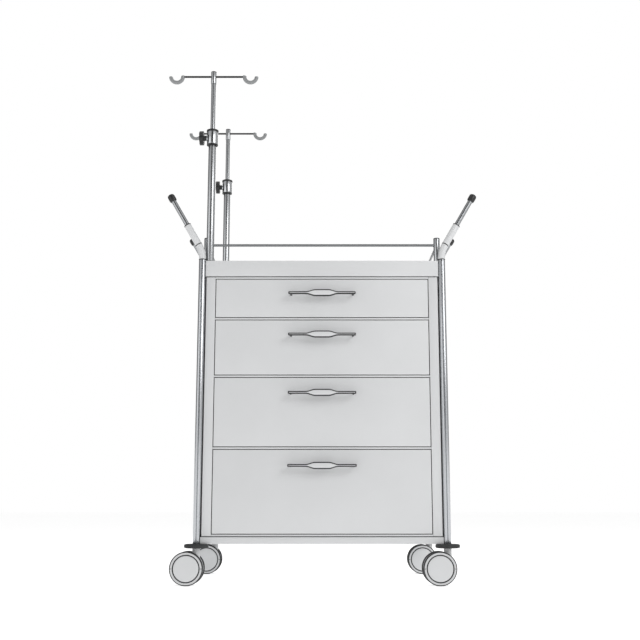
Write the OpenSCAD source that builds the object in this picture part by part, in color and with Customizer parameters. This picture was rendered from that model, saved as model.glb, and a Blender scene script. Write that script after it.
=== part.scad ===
// Instrument cart: four drawers between tubular columns, a worktop with a gallery,
// two infusion poles, four push handles and four twin-wheel castors.
// Millimetres. +Z is up, -Y is the front, and the origin is on the floor under the middle.

/* [Frame] */
// Distance between the left and right column axes
column_spacing_x = 750; // [740:5:840]
// Distance between the front and rear column axes
column_spacing_y = 500; // [490:5:600]
// Outer diameter of a column tube
column_d = 22; // [20:1:23]
// Wall of a column tube
column_wall = 2; // [1.5:0.5:2.5]
// How far a column stands above the worktop
column_rise = 4; // [2:1:10]

/* [Body] */
// Height of the base panel's underside above the floor
base_z = 121; // [119:1:135]
// Thickness of the base panel
base_t = 20; // [16:1:30]
// Thickness of the worktop's apron
worktop_t = 50; // [40:1:70]
// How far the worktop and the base reach in front of the column axes
deck_reach = 4; // [2:0.5:6]
// Depth of the tray pressed into the worktop
tray_depth = 3; // [2:0.5:5]
// Thickness of a side panel and of the rear panel
panel_t = 18; // [14:1:19]
// Thickness of the steel sheet
sheet = 1.5; // [1:0.1:2]

/* [Drawers] */
// Height of the top drawer's front
drawer_1_h = 120; // [110:5:160]
// Height of the second drawer's front
drawer_2_h = 170; // [120:5:200]
// Height of the third drawer's front
drawer_3_h = 210; // [140:5:240]
// Height of the bottom drawer's front
drawer_4_h = 250; // [160:5:280]
// Gap above, below and between the fronts
drawer_gap = 10; // [6:1:12]
// Width of a drawer front
front_w = 660; // [640:5:664]
// Thickness of a drawer front
front_t = 12; // [10:0.5:14]
// Length of a drawer box
box_l = 450; // [400:5:455]
// Length of a drawer pull
pull_l = 208; // [180:2:240]

/* [Handles] */
// Bend radius of an elbow's axis
elbow_r = 97; // [80:1:110]
// Angle that an elbow bends outwards
elbow_angle = 30; // [20:1:40]
// Length of a sleeve
sleeve_l = 74; // [60:1:90]
// Diameter of a handle rod
handle_rod_d = 15.5; // [12:0.5:17]
// Distance from a sleeve to the middle of the end cap
handle_rod_l = 102; // [80:1:120]

/* [Gallery] */
// Diameter of a gallery post
post_d = 20; // [18:1:20]
// Height of a gallery post above the worktop
post_h = 83; // [70:1:90]
// Diameter of a gallery rail
rail_d = 8; // [6:1:10]
// Height of the rails' axes above the worktop
rail_h = 60; // [40:1:62]

/* [Poles] */
// Distance from a left column's axis to the axis of its pole, across and along the cart
pole_inset = [22, 12];
// Diameter of a lower tube
pole_tube_d = 24; // [22:1:24]
// Diameter of a sliding rod
pole_rod_d = 15; // [14:0.5:16]
// Height of a clamp collar's underside
collar_z = 1377; // [1300:1:1400]
// Height of the cross bar that holds the hooks
hook_bar_z = 1613; // [1585:1:1640]
// Distance from a pole's axis to the middle of a hook
hook_x = 120; // [100:1:150]

/* [Castors] */
// Radius of a wheel
wheel_r = 50; // [45:0.5:50]
// Width of a wheel
wheel_w = 18; // [15:1:20]
// Distance that a castor's axle trails behind its stem
caster_trail = 26; // [20:1:30]
// Diameter of a bumper disc
bumper_d = 74; // [70:1:80]
// Thickness of a bumper disc
bumper_t = 12; // [8:1:12]

/* [Hidden] */
$fn = 48;
fit = 0.05;    // radial clearance of a running or seated fit
press = 0.04;  // bore over shaft where a shaft is held fast
clear = 1;     // clearance between slide members
column_x = column_spacing_x / 2;
column_y = column_spacing_y / 2;
column_r = column_d / 2;
corners = [[-column_x, -column_y], [column_x, -column_y], [-column_x, column_y], [column_x, column_y]];

drawer_h = [drawer_1_h, drawer_2_h, drawer_3_h, drawer_4_h];
function total(list, n) = n == 0 ? 0 : list[n - 1] + total(list, n - 1);
body_z = base_z + base_t;
body_h = total(drawer_h, 4) + 5 * drawer_gap;
body_top_z = body_z + body_h;
worktop_z = body_top_z + worktop_t;
column_top_z = worktop_z + column_rise;
// Underside of drawer n's front, counted from the top drawer, 0
function drawer_z(n) = body_top_z - (n + 1) * drawer_gap - total(drawer_h, n + 1);

tongue_x = column_x - column_r - 0.4;   // the decks' half width between the columns
wing_x = column_x + 8;                  // the decks' half width between front and rear columns
wing_y = column_y - column_r - 0.7;

stile_x = tongue_x - 2.6;               // outer edge of a stile
opening_x = front_w / 2 - 8;            // half width of the drawer openings
rail_overlap = 8;                       // how far a front laps over the rails
stile_face_y = -(column_y - 11.5);
front_gap = 1.5;                        // between a closed front and the stiles
stile_d = 15;
reveal = 2.4;                           // shadow gap between a front and the strips round it
front_face_y = stile_face_y - front_gap - front_t;
strip_y = front_face_y + 1;             // face of the strips between the fronts
strip_x = front_w / 2 + reveal;         // inner edge of the strips beside the fronts
strip_gap = 0.4;                        // from the rails' strips to the stiles and theirs

slide_h = 45;
slide_t = 1.5;
slide_l = box_l - 20;
slide_start_y = stile_face_y + stile_d + 3;
slide_out_x = opening_x - 0.5;          // back of the outer member
slide_mid_x = slide_out_x - slide_t - clear;
slide_in_x = slide_out_x - 12.3;        // back of the inner member, on the box
box_x = slide_in_x;
box_front_y = stile_face_y - front_gap;
box_drop = 26;                          // front height over box height, above the box
box_rise = 14;                          // front below the box
upright_w = 30;

pull_y = 24;                            // stand-off of a pull
pull_t = 7;
pull_bar = 8.3;                         // height of the pull's ends
pull_hump = 21.5;                       // height of the pull's middle
pull_flat = 20;                         // half length of the flat in the middle
pull_shoulder = 50;                     // half length of the whole hump
pull_drop = 48.5;                       // below the front's top edge
pull_foot_x = 96;

post_x = column_x - 10;
post_y = wing_y - post_d / 2 - 11.3;
posts = [[-post_x, -post_y], [post_x, -post_y], [-post_x, post_y], [post_x, post_y]];
rail_z = worktop_z + rail_h;
post_wall = 3;
rail_seat = 2.5;                        // how far a rail reaches into a post

pole_x = column_x - pole_inset[0];
pole_y = column_y - pole_inset[1];
socket_d = pole_tube_d + 2;
socket_depth = worktop_t - 2;
pole_tube_wall = 2;
collar_h = 51;
collar_d = 35;
collar_grip = 18;                       // length of the lower tube held in the collar
collar_boss = 19.5;                     // from the pole's axis to the boss's face
knob_z = collar_z + 25;
knob_d = 45;
knob_t = 13;
knob_hub_d = 17;
screw_d = 8;
head_z = hook_bar_z - 25;
head_h = 42;
head_d = pole_rod_d + 2.5;
rod_wall = 2;
rod_bottom_z = collar_z - 290;
head_spigot_d = pole_rod_d - 2 * rod_wall - 2 * fit;
head_spigot_l = 30;
hook_bar_d = 5;
hook_wire = 12;
hook_r = 19.5;
hook_lap = 9;                           // how far a hook curls up past the bar it is welded to, degrees

stem_d = 11;
stem_top_z = base_z + 38;
bumper_z = base_z - bumper_t;
neck_d = 23;
thrust_gap = 0.3;
axle_d = 8;
wheel_in = neck_d / 2 + 0.5;            // from the castor's middle plane to a wheel
housing_hub_r = 16;
hub_face_r = wheel_r - 10;

PLASTIC = "#d6d6d6";
PANEL = "#d2d3d4";
METAL = "#b4b6b8";
DARK = "#2a2a2a";
STEEL = "#a9abad";

// ---- shapes used more than once ----

module tube(d, wall, h) {
    difference() {
        cylinder(d = d, h = h);
        translate([0, 0, -1]) cylinder(d = d - 2 * wall, h = h + 2);
    }
}

module block(low, high) {
    translate(low) cube(high - low);
}

module mirrored_x() {
    children();
    mirror([1, 0, 0]) children();
}

// A deck's outline: it fills the space between the columns and nestles round their inner sides
module deck_outline(reach, inset = 0) {
    difference() {
        union() {
            square([2 * (tongue_x - inset), 2 * (column_y + reach - inset)], center = true);
            square([2 * (wing_x - inset), 2 * (wing_y - inset)], center = true);
            square([column_spacing_x - 2 * inset, column_spacing_y - 2 * inset], center = true);
        }
        for (c = corners) translate(c) circle(d = column_d + 2 * fit + 2 * inset);
    }
}

module rounded_rectangle(w, l, r) {
    union() {
        square([w - 2 * r, l], center = true);
        square([w, l - 2 * r], center = true);
        for (x = [-1, 1], y = [-1, 1]) translate([x * (w / 2 - r), y * (l / 2 - r)]) circle(r = r);
    }
}

// ---- frame and body ----

module base_panel() color(PANEL) {
    difference() {
        translate([0, 0, base_z]) linear_extrude(base_t) deck_outline(deck_reach);
        translate([0, 0, base_z - 1]) linear_extrude(base_t - sheet + 1) deck_outline(deck_reach, sheet);
    }
}

module worktop() color(PLASTIC) {
    skin = 4;
    difference() {
        union() {
            difference() {
                translate([0, 0, body_top_z]) linear_extrude(worktop_t) deck_outline(deck_reach);
                translate([0, 0, body_top_z - 1])
                    linear_extrude(worktop_t + 1 - tray_depth - skin) deck_outline(deck_reach, skin);
            }
            // bosses that hold the pole sockets
            for (y = [-1, 1]) translate([0, 0, body_top_z]) linear_extrude(worktop_t) intersection() {
                translate([-pole_x, y * pole_y]) circle(d = socket_d + 20);
                deck_outline(deck_reach);
            }
        }
        translate([0, 0, worktop_z - tray_depth])
            linear_extrude(tray_depth + 1) rounded_rectangle(2 * post_x - 60, 2 * post_y - 56, 30);
        for (y = [-1, 1]) translate([-pole_x, y * pole_y, worktop_z - socket_depth])
            cylinder(d = socket_d + 2 * fit, h = socket_depth + 1);
    }
}

// A folded tray of steel sheet, open towards the inside of the body
module side_panel() color(PANEL) {
    difference() {
        block([wing_x - 1 - panel_t, -wing_y + 2, body_z], [wing_x - 1, wing_y - 2, body_top_z]);
        block([wing_x - 2 - panel_t, -wing_y + 2 + sheet, body_z + sheet],
              [wing_x - 1 - sheet, wing_y - 2 - sheet, body_top_z - sheet]);
    }
}
module side_panel_right() side_panel();
module side_panel_left() mirror([1, 0, 0]) side_panel();

module rear_panel() color(PANEL) {
    back = column_y + deck_reach - 2;
    difference() {
        block([-tongue_x, back - panel_t, body_z], [tongue_x, back, body_top_z]);
        block([-tongue_x + sheet, back - panel_t - 1, body_z + sheet],
              [tongue_x - sheet, back - sheet, body_top_z - sheet]);
    }
}

module front_stiles() color(PANEL) mirrored_x() {
    difference() {
        block([opening_x, stile_face_y, body_z], [stile_x, stile_face_y + stile_d, body_top_z]);
        block([opening_x + sheet, stile_face_y + sheet, body_z - 1],
              [stile_x - sheet, stile_face_y + stile_d + 1, body_top_z + 1]);
    }
    block([strip_x, strip_y, body_z + reveal], [stile_x, stile_face_y + sheet / 2, body_top_z - reveal]);
}

// A channel bar across the front, open at the back. The strip on its face fills the gap
// from one front to the next and passes over the stiles to their own strips.
module front_rail(z0, z1, gap_z) {
    difference() {
        block([-opening_x, stile_face_y, z0], [opening_x, stile_face_y + stile_d, z1]);
        block([-opening_x - 1, stile_face_y + sheet, z0 + sheet],
              [opening_x + 1, stile_face_y + stile_d + 1, z1 - sheet]);
    }
    strip_z = gap_z + reveal;
    strip_top_z = gap_z + drawer_gap - reveal;
    block([-opening_x, strip_y, strip_z], [opening_x, stile_face_y + sheet / 2, strip_top_z]);
    block([-strip_x + strip_gap, strip_y, strip_z], [strip_x - strip_gap, stile_face_y - strip_gap, strip_top_z]);
}
module front_rails() color(PANEL) {
    front_rail(body_z, body_z + drawer_gap + rail_overlap, body_z);
    for (n = [0:2])
        let (gap_z = drawer_z(n) - drawer_gap)
        front_rail(gap_z - rail_overlap, drawer_z(n) + rail_overlap, gap_z);
    front_rail(body_top_z - drawer_gap - rail_overlap, body_top_z, body_top_z - drawer_gap);
}

module columns(side) color(METAL) for (c = corners) if (c[1] * side > 0)
    translate([c[0], c[1], base_z]) tube(column_d, column_wall, column_top_z - base_z);
module columns_front() columns(-1);
module columns_rear() columns(1);

// ---- castors ----

module caster_sockets() color(STEEL) for (c = corners) translate([c[0], c[1], base_z])
    difference() {
        cylinder(d = column_d - 2 * column_wall - 2 * fit, h = stem_top_z - base_z + 2);
        translate([0, 0, -1]) cylinder(d = stem_d + 2 * fit, h = stem_top_z - base_z + 5);
    }

module caster_bumpers() color(DARK) for (c = corners) translate([c[0], c[1], bumper_z]) difference() {
    union() {
        cylinder(d = bumper_d - bumper_t, h = bumper_t);
        translate([0, 0, bumper_t / 2]) rotate_extrude()
            translate([bumper_d / 2 - bumper_t / 2, 0]) circle(d = bumper_t);
    }
    translate([0, 0, -1]) cylinder(d = stem_d + 2 * fit, h = bumper_t + 2);
}

// Stem, neck and the web between the two wheels, with the axle through it
module caster_housing() {
    neck_top = bumper_z - thrust_gap;
    hub = [-caster_trail, wheel_r];
    color(PLASTIC) difference() {
        union() {
            translate([0, 0, wheel_r]) cylinder(d = neck_d, h = neck_top - wheel_r);
            translate([hub[0], neck_d / 2, hub[1]]) rotate([90, 0, 0]) cylinder(r = housing_hub_r, h = neck_d);
            translate([0, neck_d / 2, 0]) rotate([90, 0, 0]) linear_extrude(neck_d)
                polygon([hub, hub + [0, housing_hub_r], [-neck_d / 2, neck_top - 14], [0, neck_top - 14],
                         [0, wheel_r], hub + [0, -housing_hub_r]]);
            translate([0, 0, neck_top - 1]) cylinder(d = stem_d, h = stem_top_z - neck_top + 1);
        }
        translate([hub[0], neck_d / 2 + 1, hub[1]]) rotate([90, 0, 0]) cylinder(d = axle_d + press, h = neck_d + 2);
    }
    color(STEEL) translate([hub[0], wheel_in + wheel_w - 1, hub[1]]) rotate([90, 0, 0])
        cylinder(d = axle_d, h = 2 * (wheel_in + wheel_w - 1));
}

// A wheel with a rounded tread and a hub face set back inside the tyre ring
module wheel() color(PLASTIC) {
    edge = 3;
    sink = 1.2;
    corner = edge * 0.3;
    bore = axle_d / 2 + fit;
    rotate([90, 0, 0]) rotate_extrude() polygon([
        [bore, 0], [wheel_r - edge, 0], [wheel_r - corner, corner], [wheel_r, edge],
        [wheel_r, wheel_w - edge], [wheel_r - corner, wheel_w - corner], [wheel_r - edge, wheel_w],
        [hub_face_r, wheel_w], [hub_face_r, wheel_w - sink], [bore, wheel_w - sink]
    ]);
}

module caster_wheel(side) translate([-caster_trail, side * wheel_in, wheel_r])
    rotate([0, 0, side > 0 ? 180 : 0]) wheel();

// ---- handles ----

// Places its children on the column tops, with +X turned outwards
module at_handles() for (c = corners) translate([c[0], c[1], column_top_z])
    rotate([0, 0, c[0] < 0 ? 180 : 0]) children();

module elbow_end() translate([elbow_r * (1 - cos(elbow_angle)), 0, elbow_r * sin(elbow_angle)])
    rotate([0, elbow_angle, 0]) children();

module handle_elbows() color(PLASTIC) at_handles() translate([elbow_r, 0, 0]) rotate([90, 0, 0])
    rotate([0, 0, 180 - elbow_angle]) rotate_extrude(angle = elbow_angle) translate([elbow_r, 0]) difference() {
        circle(d = column_d);
        circle(d = column_d - 2 * column_wall);
    }
module handle_sleeves() color(PLASTIC) at_handles() elbow_end() difference() {
    cylinder(d = column_d, h = sleeve_l);
    translate([0, 0, -1]) cylinder(d = handle_rod_d + 2 * fit, h = sleeve_l + 2);
}
module handle_rods() color(METAL) at_handles() elbow_end() translate([0, 0, 4])
    cylinder(d = handle_rod_d, h = sleeve_l + handle_rod_l - 4);
module handle_caps() color(DARK) at_handles() elbow_end() {
    cap_d = 23;
    cap_l = 25;
    round_r = 5;
    translate([0, 0, sleeve_l + handle_rod_l - cap_l / 2]) difference() {
        rotate_extrude() union() {
            square([cap_d / 2 - round_r, cap_l]);
            translate([0, round_r]) square([cap_d / 2, cap_l - 2 * round_r]);
            for (z = [round_r, cap_l - round_r]) intersection() {
                translate([cap_d / 2 - round_r, z]) circle(r = round_r);
                square([cap_d, cap_l]);
            }
        }
        translate([0, 0, -1]) cylinder(d = handle_rod_d + 2 * fit, h = cap_l / 2 + 1);
    }
}

// ---- gallery ----

module gallery_posts() color(METAL) for (p = posts) translate([p[0], p[1], worktop_z]) difference() {
    cylinder(d = post_d, h = post_h);
    translate([0, 0, -1]) cylinder(d = post_d - 2 * post_wall, h = post_h - post_wall);
    translate([0, 0, rail_h]) rotate([0, p[0] > 0 ? -90 : 90, 0]) cylinder(d = rail_d + 2 * fit, h = post_d);
    translate([0, 0, rail_h]) rotate([p[1] > 0 ? 90 : -90, 0, 0]) cylinder(d = rail_d + 2 * fit, h = post_d);
}
module gallery_rails() color(METAL) {
    length_x = 2 * post_x - post_d + 2 * rail_seat;
    length_y = 2 * post_y - post_d + 2 * rail_seat;
    for (s = [-1, 1]) {
        translate([-length_x / 2, s * post_y, rail_z]) rotate([0, 90, 0]) cylinder(d = rail_d, h = length_x);
        translate([s * post_x, length_y / 2, rail_z]) rotate([90, 0, 0]) cylinder(d = rail_d, h = length_y);
    }
}

// ---- poles ----

module at_pole(side) translate([-pole_x, side * pole_y, 0]) children();
module at_poles() for (side = [-1, 1]) at_pole(side) children();

module pole_sockets() color(STEEL) at_poles() translate([0, 0, worktop_z - socket_depth])
    tube(socket_d, (socket_d - pole_tube_d) / 2 - fit, socket_depth);
module pole_tubes() color(METAL) at_poles() translate([0, 0, worktop_z - socket_depth])
    tube(pole_tube_d, pole_tube_wall, collar_z + collar_grip - worktop_z + socket_depth);

// The collar grips the lower tube at its foot and guides the rod above
module pole_collars() color(METAL) at_poles() difference() {
    union() {
        translate([0, 0, collar_z]) cylinder(d = collar_d, h = collar_h);
        translate([0, 0, collar_z + collar_h - 6]) cylinder(d = collar_d + 3, h = 6);
        translate([-collar_boss, 0, knob_z]) rotate([0, 90, 0]) cylinder(d = knob_hub_d + 3, h = collar_boss);
    }
    translate([0, 0, collar_z - 1]) cylinder(d = pole_tube_d + 2 * fit, h = collar_grip + 1);
    translate([0, 0, collar_z]) cylinder(d = pole_rod_d + 2 * fit, h = collar_h + 1);
    translate([-collar_boss - 1, 0, knob_z]) rotate([0, 90, 0])
        cylinder(d = screw_d + 2 * fit, h = collar_boss + 1);
}

module pole_rod(side) color(METAL) at_pole(side) translate([0, 0, rod_bottom_z])
    tube(pole_rod_d, rod_wall, head_z - thrust_gap - rod_bottom_z);
module pole_rod_front() pole_rod(-1);
module pole_rod_rear() pole_rod(1);

// Head on the rod's top, the cross bar through it and a half-round hook at each end, welded up
module hook_head(side) color(METAL) at_pole(side) {
    translate([0, 0, head_z]) cylinder(d = head_d, h = head_h);
    translate([0, 0, head_z - head_spigot_l]) cylinder(d = head_spigot_d, h = head_spigot_l + 1);
    translate([-hook_x + hook_r, 0, hook_bar_z]) rotate([0, 90, 0])
        cylinder(d = hook_bar_d, h = 2 * (hook_x - hook_r));
    mirrored_x() translate([hook_x, 0, hook_bar_z]) {
        rotate([90, 0, 0]) rotate([0, 0, 180 - hook_lap]) rotate_extrude(angle = 180 + hook_lap)
            translate([hook_r, 0]) circle(d = hook_wire);
    }
}
module hook_head_front() hook_head(-1);
module hook_head_rear() hook_head(1);

// A six-lobed knob whose screw bears on the rod
module clamp_knob(side) at_pole(side) color(DARK) translate([0, 0, knob_z]) rotate([0, -90, 0]) {
    face = collar_boss + 0.5;
    lobes = 6;
    translate([0, 0, pole_rod_d / 2 + 0.3]) cylinder(d = screw_d, h = face);
    translate([0, 0, face]) cylinder(d = knob_hub_d, h = 9);
    translate([0, 0, face + 8]) linear_extrude(knob_t) difference() {
        circle(d = knob_d);
        for (a = [0:lobes - 1]) rotate((a + 0.5) * 360 / lobes) translate([knob_d / 2 + 4, 0]) circle(r = 7);
    }
}
module clamp_knob_front() clamp_knob(-1);
module clamp_knob_rear() clamp_knob(1);

// ---- drawers ----

module slide_uprights() color(STEEL) mirrored_x()
    for (y = [slide_start_y, slide_start_y + slide_l - upright_w]) difference() {
        block([slide_out_x, y, body_z], [wing_x - 1 - panel_t, y + upright_w, body_top_z]);
        block([slide_out_x + sheet, y + sheet, body_z - 1],
              [wing_x - panel_t, y + upright_w - sheet, body_top_z + 1]);
    }

function slide_z(n) = drawer_z(n) + box_rise + (drawer_h[n] - box_rise - box_drop) / 2;

// A channel whose back stands at x and whose flanges reach to tip
module channel(x, tip, h) {
    back = x > tip ? x - slide_t : x;
    y1 = slide_start_y + slide_l;
    block([back, slide_start_y, -h / 2], [back + slide_t, y1, h / 2]);
    for (s = [-1, 1]) translate([0, 0, s * (h - slide_t) / 2])
        block([min(x, tip), slide_start_y, -slide_t / 2], [max(x, tip), y1, slide_t / 2]);
}
middle_h = slide_h - 2 * slide_t - 2 * clear;
inner_h = middle_h - 2 * slide_t - 2 * clear;

module slide_outer_members() color(STEEL) for (n = [0:3]) mirrored_x() translate([0, 0, slide_z(n)])
    channel(slide_out_x, slide_in_x + 1, slide_h);
module slide_middle(n) color(STEEL) mirrored_x() translate([0, 0, slide_z(n)])
    channel(slide_mid_x, slide_in_x + slide_t + 0.6, middle_h);
module slide_inner(n) color(STEEL) mirrored_x() translate([0, 0, slide_z(n)])
    channel(slide_in_x, slide_mid_x - slide_t - clear, inner_h);

module drawer_front(n) color(PLASTIC)
    block([-front_w / 2, front_face_y, drawer_z(n)],
          [front_w / 2, front_face_y + front_t, drawer_z(n) + drawer_h[n]]);

module drawer_box(n) color(PANEL) {
    z0 = drawer_z(n) + box_rise;
    z1 = drawer_z(n) + drawer_h[n] - box_drop;
    difference() {
        block([-box_x, box_front_y, z0], [box_x, box_front_y + box_l, z1]);
        block([-box_x + sheet, box_front_y + sheet, z0 + sheet],
              [box_x - sheet, box_front_y + box_l - sheet, z1 + 1]);
    }
}

// The pull's half height at distance x from its middle
function smooth(t) = t <= 0 ? 0 : t >= 1 ? 1 : t * t * (3 - 2 * t);
function pull_rise(x) = smooth((pull_shoulder - abs(x)) / (pull_shoulder - pull_flat));
function pull_half(x) = (pull_bar + (pull_hump - pull_bar) * pull_rise(x)) / 2;

module drawer_pull(n) color(METAL) translate([0, front_face_y, drawer_z(n) + drawer_h[n] - pull_drop]) {
    steps = 10;
    half = [for (i = [0:steps]) pull_flat + (pull_shoulder - pull_flat) * i / steps];
    xs = concat([-pull_l / 2], [for (i = [steps:-1:0]) -half[i]], half, [pull_l / 2]);
    translate([0, -pull_y, 0]) rotate([90, 0, 0]) linear_extrude(pull_t) polygon(concat(
        [for (x = xs) [x, pull_half(x)]], [for (i = [len(xs) - 1:-1:0]) [xs[i], -pull_half(xs[i])]]));
    for (x = [-pull_foot_x, pull_foot_x])
        translate([x, 0, 0]) rotate([90, 0, 0]) cylinder(d = pull_bar, h = pull_y + 0.5);
}

// ---- nodes ----

base_panel();
worktop();
side_panel_left();
side_panel_right();
rear_panel();
front_stiles();
front_rails();
columns_front();
columns_rear();
caster_sockets();
caster_bumpers();
handle_elbows();
handle_sleeves();
handle_rods();
handle_caps();
gallery_posts();
gallery_rails();
pole_sockets();
pole_tubes();
pole_collars();
slide_uprights();
slide_outer_members();
pole_rod_front();
pole_rod_rear();
hook_head_front();
hook_head_rear();
clamp_knob_front();
clamp_knob_rear();

for (n = [0:3]) {
    drawer = str("drawer_", n + 1);
    drawer_front(n);
    drawer_pull(n);
    drawer_box(n);
    slide_inner(n);
    slide_middle(n);
}

for (i = [0:3]) translate([corners[i][0], corners[i][1], 0]) {
    caster = str("caster_", ["front_left", "front_right", "rear_left", "rear_right"][i]);
    caster_housing();
    caster_wheel(-1);
    caster_wheel(1);
}
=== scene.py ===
"""Looks of the instrument cart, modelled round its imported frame.

Metres throughout, +Z up, -Y the front, and the origin on the floor under the middle.
"""

import logging
import math
from collections.abc import Callable
from dataclasses import dataclass
from enum import Enum
from typing import ClassVar

import bmesh
import bpy
from bpy.types import Material, Node, NodeSocket, NodeTree, Object
from mathutils import Matrix, Vector


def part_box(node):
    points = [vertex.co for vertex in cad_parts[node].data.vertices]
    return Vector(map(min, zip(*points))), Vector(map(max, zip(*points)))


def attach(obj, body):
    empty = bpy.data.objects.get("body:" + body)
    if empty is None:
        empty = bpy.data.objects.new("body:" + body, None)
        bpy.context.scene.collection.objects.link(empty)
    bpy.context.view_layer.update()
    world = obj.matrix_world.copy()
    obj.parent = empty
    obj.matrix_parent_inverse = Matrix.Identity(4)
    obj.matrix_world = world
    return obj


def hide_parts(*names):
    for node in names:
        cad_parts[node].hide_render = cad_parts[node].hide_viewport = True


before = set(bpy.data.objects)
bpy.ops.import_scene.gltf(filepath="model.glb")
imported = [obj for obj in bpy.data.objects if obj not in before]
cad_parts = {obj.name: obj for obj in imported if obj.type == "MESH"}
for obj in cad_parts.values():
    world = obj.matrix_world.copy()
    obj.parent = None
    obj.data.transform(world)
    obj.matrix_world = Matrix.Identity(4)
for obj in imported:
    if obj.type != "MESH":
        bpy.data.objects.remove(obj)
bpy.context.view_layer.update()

log = logging.getLogger("instrument_cart")

MM = 0.001
SMOOTH_ANGLE = math.radians(35)
FRONT = -1
REAR = 1
LEFT = -1
RIGHT = 1
SIDE_WORD = {LEFT: "left", RIGHT: "right"}
END_WORD = {FRONT: "front", REAR: "rear"}

Test = Callable[[Vector, Vector], bool]
Profile = list[tuple[float, float]]


# ---- colours and nodes ----


def linear(code: str) -> tuple[float, float, float, float]:
    """Turns an sRGB hex colour linear.

    Args:
        code: the colour as "#rrggbb".

    Returns:
        Linear red, green and blue, and an alpha of 1.
    """
    parts = [int(code[i:i + 2], 16) / 255 for i in (1, 3, 5)]
    red, green, blue = (c / 12.92 if c <= 0.04045 else ((c + 0.055) / 1.055) ** 2.4 for c in parts)
    return red, green, blue, 1.0


def add_node(
    tree: NodeTree,
    kind: str,
    values: dict[str | int, object] | None = None,
    links: dict[str | int, NodeSocket] | None = None,
    **settings: object,
) -> Node:
    """Adds a shader node with its settings, values and links.

    Args:
        tree: the node tree that gets the node.
        kind: the node's type, without "ShaderNode".
        values: values for its input sockets.
        links: the output socket that feeds each linked input.
        **settings: the node's own fields.

    Returns:
        The new node.
    """
    node = tree.nodes.new("ShaderNode" + kind)
    for field_name, value in settings.items():
        setattr(node, field_name, value)
    for socket, value in (values or {}).items():
        node.inputs[socket].default_value = value
    for socket, source in (links or {}).items():
        tree.links.new(source, node.inputs[socket])
    return node


class Texture(Enum):
    """How a surface was made, as the pitch of its relief across X, Y and Z, in metres.

    Orange peel has its real pitch. Mould grain is really about 0.2 mm wide, and scratches and
    turning marks about 0.1 mm, so these are drawn coarser, as they would not show.
    """

    PEEL = (2.2 * MM, 2.2 * MM, 2.2 * MM)        # orange peel of a powder coat
    GRAIN = (1.2 * MM, 1.2 * MM, 1.2 * MM)       # spark-eroded grain of a mould
    CAST = (3.0 * MM, 3.0 * MM, 3.0 * MM)        # soft skin of an elastomer
    BRUSHED_X = (80 * MM, 0.9 * MM, 0.9 * MM)    # scratches along X
    BRUSHED_Y = (0.9 * MM, 80 * MM, 0.9 * MM)    # scratches along Y
    BRUSHED_Z = (0.9 * MM, 0.9 * MM, 80 * MM)    # scratches along Z
    TURNED_Z = (60 * MM, 60 * MM, 0.8 * MM)      # turning marks round Z


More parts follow.
